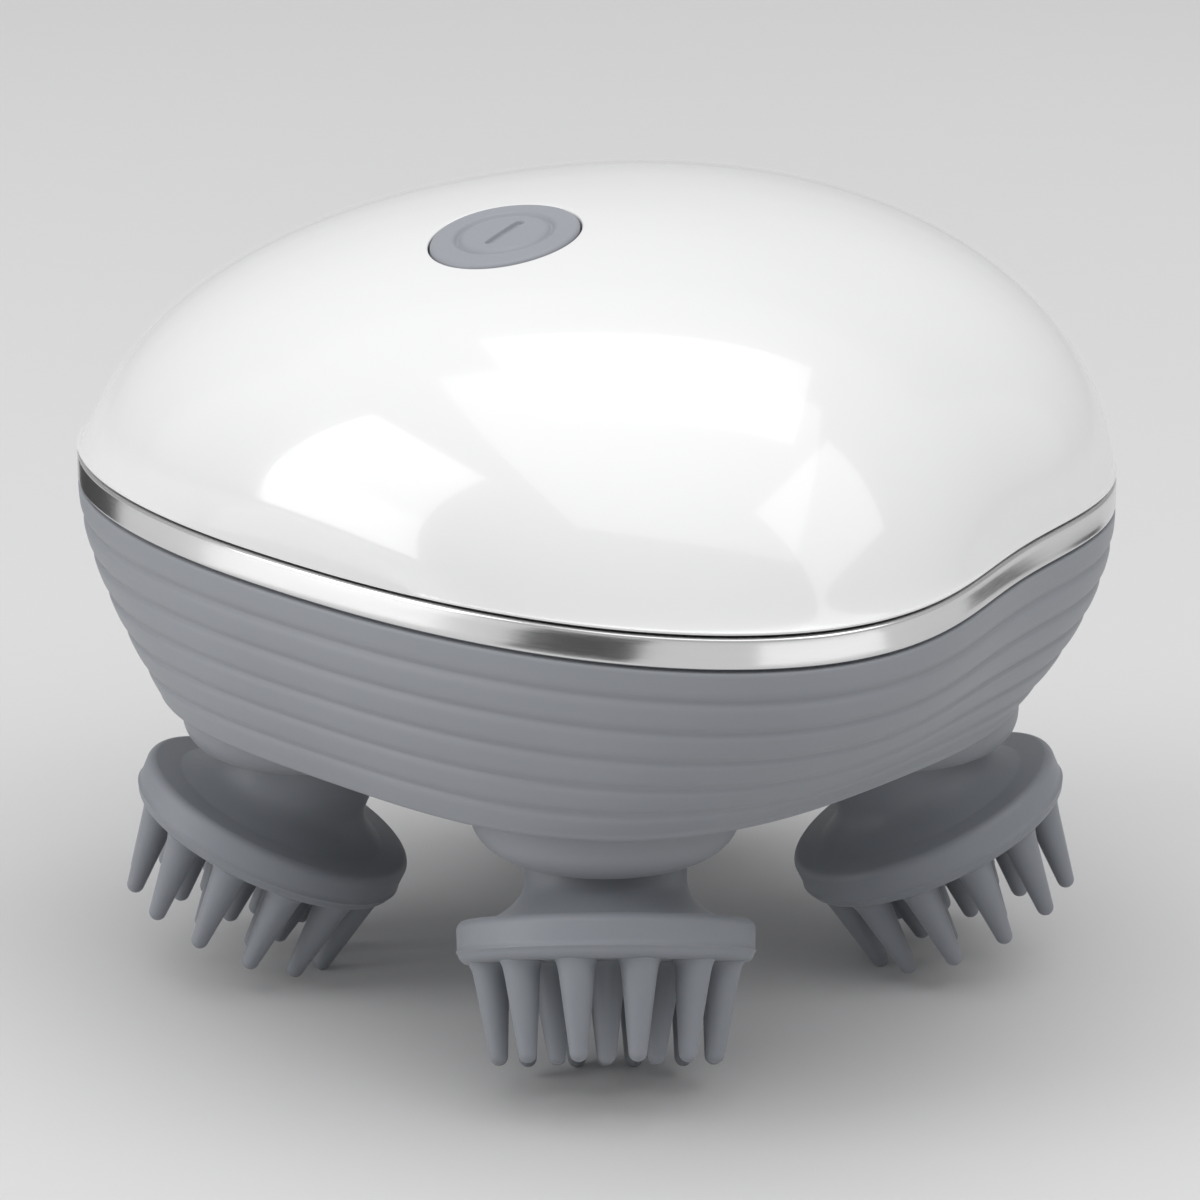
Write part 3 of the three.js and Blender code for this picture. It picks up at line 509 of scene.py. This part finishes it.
def bowl_skin():
    rim = BAND_Z - GAP
    rings = [follow(LIP_INSET, LIP_Z), follow(LIP_INSET, rim), follow(BOWL_RIM_EDGE, rim)]
    rings.append(follow(BOWL_RIM_INSET, rim - BOWL_RIM_DROP))
    low = BOWL_Z + BOWL_EDGE
    for j in range(RIBS * RIB_ROWS + 1):
        z = rim - BOWL_RIM_EDGE + (low - rim + BOWL_RIM_EDGE) * j / (RIBS * RIB_ROWS)
        rings.append(rib_ring(z))
    for turn in np.radians([25, 50, 70, 90]):
        rings.append(rib_ring(low, BOWL_EDGE * (1 - math.cos(turn)), BOWL_EDGE * math.sin(turn)))
    return skin(rings)


def bowl_floor():
    bm = bmesh.new()
    edge = rib_ring(BOWL_Z + BOWL_EDGE, BOWL_EDGE, BOWL_EDGE)
    loops = [edge]
    loops += [turned([(BUSH_HOLE_RADIUS, BOWL_Z)], x, y, 48)[0] for x, y in HEAD_PLACES]
    for screw in ("case_screw_1", "case_screw_2"):
        x, y, _ = middle(screw)
        loops.append(turned([(SCREW_HOLE_RADIUS, BOWL_Z)], x, y, 48)[0])
    for loop in loops:
        verts = [bm.verts.new(p) for p in loop]
        for a, b in zip(verts, verts[1:] + verts[:1]):
            bm.edges.new((a, b))
    bmesh.ops.triangle_fill(bm, edges=bm.edges[:], use_beauty=True, use_dissolve=False,
                            normal=(0, 0, -1))
    bm.verts.index_update()
    points = np.array([v.co[:] for v in bm.verts])
    faces = [tuple(v.index for v in f.verts) for f in bm.faces]
    bm.free()
    return points, faces


bowl = piece("ribbed_bowl", *bowl_skin(), GREY)
floor_plate = piece("bowl_floor", *bowl_floor(), GREY, smooth=False)


# Collar: a round cup with a recess for the neck
def collar_skin(x, y):
    profile = [(BUSH_HOLE_RADIUS, BOWL_Z), (BUSH_HOLE_RADIUS, WEB_Z), (SEAL_HOLE_RADIUS, WEB_Z)]
    profile += fillet(SEAL_HOLE_RADIUS + COLLAR_LIP, COLLAR_Z + COLLAR_LIP, COLLAR_LIP, 180, 270)
    for turn in np.radians(np.linspace(0, 90, 14)):
        profile.append((COLLAR_RADIUS - COLLAR_EDGE_WIDTH * (1 - math.sin(turn)),
                        COLLAR_Z + COLLAR_EDGE_HEIGHT * (1 - math.cos(turn))))
    profile += [(COLLAR_RADIUS, BOWL_Z + COLLAR_SIDE), (COLLAR_RADIUS, BOWL_Z + COLLAR_ROOT)]
    return skin(turned(profile, x, y, 128))


collars = [piece(f"collar_{i + 1}", *collar_skin(x, y), GREY) for i, (x, y) in enumerate(HEAD_PLACES)]
for thing in [bowl, floor_plate] + collars:
    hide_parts("lower_housing")


BUTTON_ROWS = 130


# Power button: a soft cap with a ring groove and a bar
def button_skin():
    low, ledge = BUTTON_LOW_Z, BUTTON_LOW_Z + BUTTON_FLANGE_HEIGHT
    flange = [(BUTTON_FLANGE_RADIUS, low), (BUTTON_FLANGE_RADIUS, ledge), (BUTTON_RADIUS, ledge)]
    rings = turned(flange, DRIVE_X + BUTTON_X, 0, WELL_AROUND)
    full = np.full(WELL_AROUND, 1.0)
    rings.append(over_button(full * BUTTON_RADIUS, BUTTON_EDGE - BUTTON_PROUD + BUTTON_SKIRT))
    for turn in np.radians(np.linspace(0, 90, 8)):
        r = BUTTON_RADIUS - BUTTON_EDGE * (1 - math.cos(turn))
        rings.append(over_button(full * r, BUTTON_EDGE * (1 - math.sin(turn)) - BUTTON_PROUD))
    top = BUTTON_RADIUS - BUTTON_EDGE
    for j in range(1, BUTTON_ROWS):
        r = top * (1 - j / BUTTON_ROWS)
        from_groove = (r - BUTTON_GROOVE_RADIUS) / BUTTON_GROOVE_SPREAD
        ring_groove = BUTTON_GROOVE_DEPTH * np.exp(-(from_groove ** 2))
        step = BUTTON_DISH_DEPTH * smoothstep((BUTTON_GROOVE_RADIUS - r) / BUTTON_DISH_EDGE)
        along = r * np.cos(around - BUTTON_BAR_TURN)
        across = r * np.sin(around - BUTTON_BAR_TURN)
        past = np.maximum(0, np.abs(along) - (BUTTON_BAR_LENGTH - BUTTON_BAR_WIDTH) / 2)
        off = np.hypot(past, across)
        inside = (BUTTON_BAR_WIDTH / 2 + BUTTON_BAR_EDGE / 2 - off) / BUTTON_BAR_EDGE
        bar = BUTTON_BAR_DEPTH * smoothstep(inside)
        rings.append(over_button(full * r, ring_groove + step + bar - BUTTON_PROUD))
    return skin(rings, close_low=True, close_high=True)


button = piece("button_cap", *button_skin(), BUTTON, body="button")
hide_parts("power_button")


def bend_share(z):
    return (z - NECK_BEND) / (PIVOT_LENGTH - NECK_BEND)


# Massage head: a rimmed disc whose neck turns from the inclined axis to the upright one
def head_skin():
    size = 128
    angle = np.linspace(0, 2 * np.pi, size, endpoint=False)
    profile = [(DISC_CENTRE_RADIUS, 0.0), (DISC_RADIUS - DISC_LIP - DISC_FACE_INSET, 0.0)]
    profile += fillet(DISC_RADIUS - DISC_LIP - DISC_LIP_INSET, DISC_LIP, DISC_LIP, 270, 350, 8)
    profile += [(DISC_RADIUS + out, DISC_LIP + up) for out, up in DISC_RIDGE]
    profile += fillet(DISC_RADIUS - DISC_SHOULDER, DISC_HEIGHT - DISC_SHOULDER, DISC_SHOULDER, 6, 78, 9)
    start_r, start_z = DISC_RADIUS - FLARE_INSET, DISC_HEIGHT + FLARE_RISE
    for share in np.linspace(0, 1, 30):
        r = NECK_RADIUS + (start_r - NECK_RADIUS) * (1 - share) ** FLARE_CURVE
        profile.append((r, start_z + FLARE_LENGTH * share))
    for z in np.linspace(start_z + FLARE_LENGTH + NECK_START, PIVOT_LENGTH, 9):
        profile.append((NECK_RADIUS + NECK_FLARE * smoothstep(bend_share(z)), z))
    rings = []
    for r, z in profile:
        tilt = HEAD_TILT * (1 - np.clip(bend_share(z), 0, 1))
        centre = np.array([-math.sin(HEAD_TILT), 0, math.cos(HEAD_TILT)]) * (z - PIVOT_LENGTH)
        across = np.array([math.cos(tilt), 0, math.sin(tilt)])
        rings.append(centre + r * (np.outer(np.cos(angle), across) + np.outer(np.sin(angle), (0, 1, 0))))
    rings.append(rings[-1] + np.array([0, 0, GAP]))
    parts = [skin(rings, close_low=True, close_high=True)]
    for count, radius, start, lean in PRONG_RINGS:
        for k in range(count):
            parts.append(prong_skin(radius, lean, start + 2 * math.pi * k / count))
    return join(parts)


# Tapered finger with a filleted root and a round tip, leaning toward the head's middle
def prong_skin(radius, lean, turn):
    size = 24
    angle = np.linspace(0, 2 * np.pi, size, endpoint=False)
    length = PRONG_LENGTH - PRONG_TIP_RADIUS
    levels = [(-PRONG_SINK, PRONG_BASE_RADIUS - PRONG_SUNK_INSET)]
    for z in (*PRONG_LEVELS, length):
        taper = PRONG_BASE_RADIUS + (PRONG_TIP_RADIUS - PRONG_BASE_RADIUS) * z / length
        levels.append((z, taper + PRONG_ROOT_FLARE * math.exp(-z / PRONG_ROOT_HEIGHT)))
    for t in np.radians([18, 36, 54, 70, 82]):
        levels.append((length + PRONG_TIP_RADIUS * math.sin(t), PRONG_TIP_RADIUS * math.cos(t)))
    rings = []
    for depth, r in levels:
        out = radius - lean * max(0.0, min(1.0, depth / length)) + r * np.cos(angle)
        side = r * np.sin(angle)
        x = out * math.cos(turn) - side * math.sin(turn)
        y = out * math.sin(turn) + side * math.cos(turn)
        local = np.stack([x, y, np.full(size, -depth)], -1)
        rings.append(inclined(local))
    return skin(rings, close_high=True)


# From the disc's own frame to one centred on the pivot, upright
def inclined(points):
    c, s = math.cos(HEAD_TILT), math.sin(HEAD_TILT)
    x, y, z = points[:, 0], points[:, 1], points[:, 2] - PIVOT_LENGTH
    return np.stack([x * c - z * s, y, x * s + z * c], -1)


head_points, head_faces = head_skin()
for i, (x, y) in enumerate(HEAD_PLACES):
    turn = math.atan2(y, x - DRIVE_X)
    c, s = math.cos(turn), math.sin(turn)
    rotated = np.stack([head_points[:, 0] * c - head_points[:, 1] * s,
                        head_points[:, 0] * s + head_points[:, 1] * c, head_points[:, 2]], -1)
    placed = rotated + [x, y, PIVOT_Z]
    head = piece(f"silicone_head_{i + 1}", placed, head_faces, SILICONE, body=f"head_{i + 1}")
    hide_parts(f"massage_head_{i + 1}")
    inner, outer = SEAL_BORE_RADIUS, SEAL_HOLE_RADIUS - GAP
    low, high = corners(f"shaft_seal_{i + 1}")
    seal_profile = [(inner, low[2]), (outer - SEAL_CHAMFER, low[2]), (outer, low[2] + SEAL_CHAMFER),
                    (outer, high[2]), (inner, high[2]), (inner, low[2])]
    seal = piece(f"lip_seal_{i + 1}", *skin(turned(seal_profile, x, y, 64)), RUBBER)
    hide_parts(f"shaft_seal_{i + 1}")


# Screws: a pan head with a cross recess and a threaded shank
def screw_skin(head_radius, head_height, radius, length):
    size = 48
    angle = np.linspace(0, 2 * np.pi, size, endpoint=False)
    rings = []

    def level(r, z):
        rings.append(np.stack([r * np.cos(angle), r * np.sin(angle), np.broadcast_to(z, (size,))], -1))

    arm, width = head_radius * CROSS_ARM, head_radius * CROSS_WIDTH
    for r in np.linspace(SCREW_CENTRE_RADIUS, head_radius - SCREW_FACE_INSET, 14):
        x, y = r * np.cos(angle), r * np.sin(angle)
        cross = ((np.abs(x) < width) & (np.abs(y) < arm)) | ((np.abs(y) < width) & (np.abs(x) < arm))
        level(r, np.where(cross, CROSS_DEPTH * head_height * (1 - r / arm * CROSS_SLOPE), 0.0))
    for inset, z in SCREW_RIM:
        level(head_radius - inset, z)
    level(head_radius, head_height)
    level(radius, head_height)
    steps = max(24, int(length * 5))
    for z in np.linspace(head_height + THREAD_START, length - THREAD_END, steps):
        wave = np.abs(((z / SCREW_PITCH - angle / (2 * np.pi)) % 1) * 2 - 1)
        level(radius - THREAD_DEPTH * wave, z)
    level(radius * SCREW_POINT, length)
    return skin(rings, close_low=True, close_high=True)


def add_screw(node, head_radius, head_height, radius, points_up):
    low, high = corners(node)
    x, y, _ = (low + high) / 2
    points, faces = screw_skin(head_radius, head_height, radius, high[2] - low[2])
    if not points_up:
        points = points * np.array([1, -1, -1]) + [0, 0, high[2] - low[2]]
    part = piece(node.replace("screw", "cross_screw"), points + [x, y, low[2]], faces, STEEL)
    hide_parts(node)


for i in range(2):
    add_screw(f"case_screw_{i + 1}", *LARGE_SCREW, True)
    add_screw(f"motor_screw_{i + 1}", *SMALL_SCREW, True)
for i in range(4):
    add_screw(f"deck_screw_{i + 1}", *LARGE_SCREW, False)
for i in range(3):
    add_screw(f"board_screw_{i + 1}", *SMALL_SCREW, True)

# Charging contacts with a domed face
for i in range(2):
    low, high = corners(f"charging_contact_{i + 1}")
    r = (high[2] - low[2]) / 2
    reach = high[0] - low[0]
    edge_r, edge_z = r - CONTACT_EDGE, reach - CONTACT_EDGE
    profile = [(r, 0.0), (r, edge_z)] + fillet(edge_r, edge_z, CONTACT_EDGE, 0, 80, 5) + [(0.1, reach)]
    rings = turned(profile, 0, 0, 48)
    centre = (low + high) / 2
    rings = [np.stack([low[0] + p[:, 2], centre[1] + p[:, 1], centre[2] - p[:, 0]], -1) for p in rings]
    contact = piece(f"contact_pin_{i + 1}", *skin(rings, close_low=True, close_high=True), GOLD)
    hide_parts(f"charging_contact_{i + 1}")


# Studio: a seamless pale sweep, soft boxes and the camera at the photograph's angle
CAMERA_PLACE = Vector((-408.3, -391.6, 225.64)) * MM
CAMERA_AIM = Vector((1.2, 5.9, 40.24)) * MM
CAMERA_LENS = 158.4
SENSOR_WIDTH = 36
VIEW_TURN = math.radians(-45)

camera_data = bpy.data.cameras.new("camera")
camera_data.lens = CAMERA_LENS
camera_data.sensor_width = SENSOR_WIDTH
camera = bpy.data.objects.new("camera", camera_data)
camera.location = CAMERA_PLACE
camera.rotation_euler = (CAMERA_AIM - CAMERA_PLACE).to_track_quat("-Z", "Y").to_euler()
bpy.context.scene.collection.objects.link(camera)
bpy.context.scene.camera = camera


# Paper sweep in metres, turned to face the camera
def sweep():
    width, near, back, bend, height = 2.6, -1.6, 1.1, 0.7, 2.2
    profile = [(near, 0.0), (back, 0.0)]
    for t in np.radians(np.linspace(6, 90, 15)):
        profile.append((back + bend * math.sin(t), bend * (1 - math.cos(t))))
    profile.append((back + bend, height))
    rows = []
    for side in np.linspace(-width, width, 9):
        rows.append([(side, depth, z) for depth, z in profile])
    points = np.array(rows).reshape(-1, 3)
    n = len(profile)
    faces = [(i * n + j, (i + 1) * n + j, (i + 1) * n + j + 1, i * n + j + 1)
             for i in range(8) for j in range(n - 1)]
    c, s = math.cos(VIEW_TURN), math.sin(VIEW_TURN)
    turned_points = np.stack([points[:, 0] * c - points[:, 1] * s, points[:, 0] * s + points[:, 1] * c,
                              points[:, 2]], -1)
    return turned_points / MM, faces


PAPER = surface("studio_paper", (0.63, 0.63, 0.632), 0.7, vary=0.008, rough_vary=0.05, grain=400,
                bump=0.01, blotch=3)
backdrop = piece("backdrop", *sweep(), PAPER, body=None)


# Cards that lie round the object. They are seen only in its glossy surfaces, such as the trim band. The
# white cards also glow faintly, so they show a painted glow in those reflections.
# The white card's emission is a painted glow, though the card is no lamp: it makes its reflections
# brighter than a lit card would give.
GLOWING_WHITE_CARD = surface("glowing_white_card", (0.9, 0.9, 0.9), 0.6, vary=0.01, grain=300, bump=0.01, blotch=8,
                     Emission_Color=(1, 1, 1, 1), Emission_Strength=0.12)
BLACK_CARD = surface("black_card", (0.02, 0.02, 0.02), 0.7, vary=0.1, grain=300, bump=0.01, blotch=8)
CARD_HEIGHT = 2.0
# Name, first and last angle in degrees, inner and outer radius in millimetres, material
CARDS = [
    ("white_card_left", 131, 166, 165, 420, GLOWING_WHITE_CARD),
    ("black_card_near", 179, 204, 150, 480, BLACK_CARD),
    ("white_card_right", 236, 288, 165, 420, GLOWING_WHITE_CARD),
    ("black_card_right", 333, 350, 165, 196, BLACK_CARD),
    ("black_card_left", 78, 108, 165, 400, BLACK_CARD),
]


def card_skin(start, end, near, far):
    turns = np.radians(np.linspace(start, end, 24))
    rings = [np.stack([r * np.cos(turns), r * np.sin(turns), np.full(len(turns), CARD_HEIGHT)], -1)
             for r in (near, far)]
    size = len(turns)
    faces = [(i, i + 1, size + i + 1, size + i) for i in range(size - 1)]
    return np.concatenate(rings), faces


for name, start, end, near, far, material in CARDS:
    card = piece(name, *card_skin(start, end, near, far), material, body=None)
    card.visible_camera = card.visible_diffuse = card.visible_shadow = False


def soft_box(name, place, aim, width, height, radiance):
    data = bpy.data.lights.new(name, "AREA")
    data.shape = "RECTANGLE"
    data.size, data.size_y = width, height
    data.energy = radiance * math.pi * width * height
    light = bpy.data.objects.new(name, data)
    light.location = place
    light.rotation_euler = (Vector(aim) - Vector(place)).to_track_quat("-Z", "Y").to_euler()
    bpy.context.scene.collection.objects.link(light)


# Lights are placed in metres. Their boxes aim at the body's middle or beside it.
BODY_HEIGHT = 0.06
SIDE_DISTANCE = 0.9


def at_side(azimuth, elevation):
    a, e = math.radians(azimuth), math.radians(elevation)
    return (SIDE_DISTANCE * math.cos(e) * math.cos(a), SIDE_DISTANCE * math.cos(e) * math.sin(a),
            BODY_HEIGHT + SIDE_DISTANCE * math.sin(e))


BODY_MIDDLE = (0, 0, BODY_HEIGHT)
# Name, place, aim, width, height, radiance
LIGHTS = [
    ("top_box", (0.18, 0.1, 1.0), (0.08, 0.0, 0.06), 0.78, 0.46, 1.35),
    ("ceiling_box", (-0.35, -0.35, 2.1), BODY_MIDDLE, 2.6, 2.4, 1.02),
    ("left_box", at_side(146, 22), BODY_MIDDLE, 0.45, 0.8, 2.2),
    ("left_low_box", at_side(146, 8), (0, 0, 0.04), 0.45, 0.3, 0.8),
    ("right_box", at_side(-72, 46), BODY_MIDDLE, 0.6, 0.5, 1.45),
]
for light in LIGHTS:
    soft_box(*light)

WORLD_COLOR = (0.92, 0.92, 0.925, 1)
WORLD_STRENGTH = 0.6
world = bpy.data.worlds.new("studio")
world.use_nodes = True
air = world.node_tree.nodes["Background"]
air.inputs["Color"].default_value = WORLD_COLOR
air.inputs["Strength"].default_value = WORLD_STRENGTH
bpy.context.scene.world = world
bpy.context.scene.view_settings.view_transform = "Standard"
